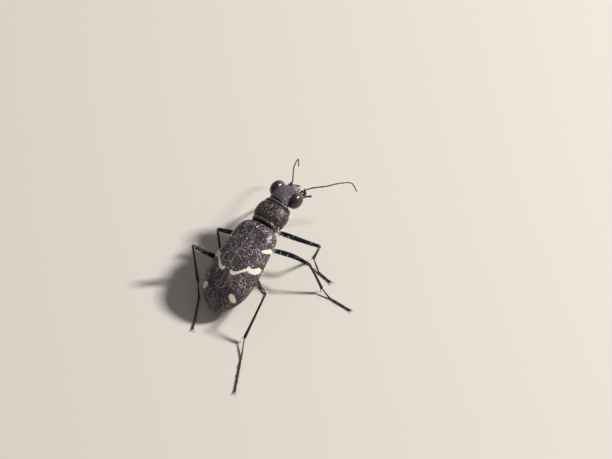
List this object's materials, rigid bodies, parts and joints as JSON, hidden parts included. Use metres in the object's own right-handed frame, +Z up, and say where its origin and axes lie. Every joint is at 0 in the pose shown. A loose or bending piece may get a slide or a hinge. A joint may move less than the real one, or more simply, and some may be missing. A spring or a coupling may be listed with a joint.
{
  "type": "tiger beetle",
  "caption": "Life-size long-legged ground beetle standing in a walking pose, with big eyes, sickle jaws and cream-marked brown-black wing cases.",
  "frame": {"origin": "middle of the box round the whole beetle, on the floor that its feet stand on", "axes": "+Y ahead along the body, +X to the beetle's right, +Z up"},
  "size_m": [0.0138, 0.0223, 0.0055],
  "materials": {
    "body_plate": "dark bronze-brown cuticle, finely wrinkled, dull metallic sheen",
    "wing_case": "brown-black pitted cuticle with cream markings",
    "underside": "blue-black metallic cuticle with white hairs at the sides",
    "eye": "dark brown glossy compound eye",
    "labrum": "pale horn",
    "jaw": "black-brown horn",
    "leg": "black cuticle with a blue and coppery sheen",
    "foot": "brown-black cuticle, slightly green",
    "feeler": "brown-black, dull past the first four segments"
  },
  "bodies": {
    "root": {"abdomen": "underside", "antenna_left_scape": "feeler", "antenna_left_shaft": "feeler", "antenna_left_tip": "feeler", "antenna_right_scape": "feeler", "antenna_right_shaft": "feeler", "antenna_right_tip": "feeler", "coxa_front_left": "underside", "coxa_front_right": "underside", "coxa_hind_left": "underside", "coxa_hind_right": "underside", "coxa_mid_left": "underside", "coxa_mid_right": "underside", "eye_left": "eye", "eye_right": "eye", "femur_front_left": "leg", "femur_front_right": "leg", "femur_hind_left": "leg", "femur_hind_right": "leg", "femur_mid_left": "leg", "femur_mid_right": "leg", "head": "body_plate", "labium": "jaw", "labrum": "labrum", "mandible_left": "jaw", "mandible_right": "jaw", "maxillary_palp_left": "leg", "maxillary_palp_right": "leg", "pronotum": "body_plate", "scutellum": "body_plate", "tarsus_front_left": "foot", "tarsus_front_right": "foot", "tarsus_hind_left": "foot", "tarsus_hind_right": "foot", "tarsus_mid_left": "foot", "tarsus_mid_right": "foot", "thorax": "underside", "tibia_front_left": "leg", "tibia_front_right": "leg", "tibia_hind_left": "leg", "tibia_hind_right": "leg", "tibia_mid_left": "leg", "tibia_mid_right": "leg", "wing_case_left": "wing_case", "wing_case_right": "wing_case"}
  },
  "joints": []
}
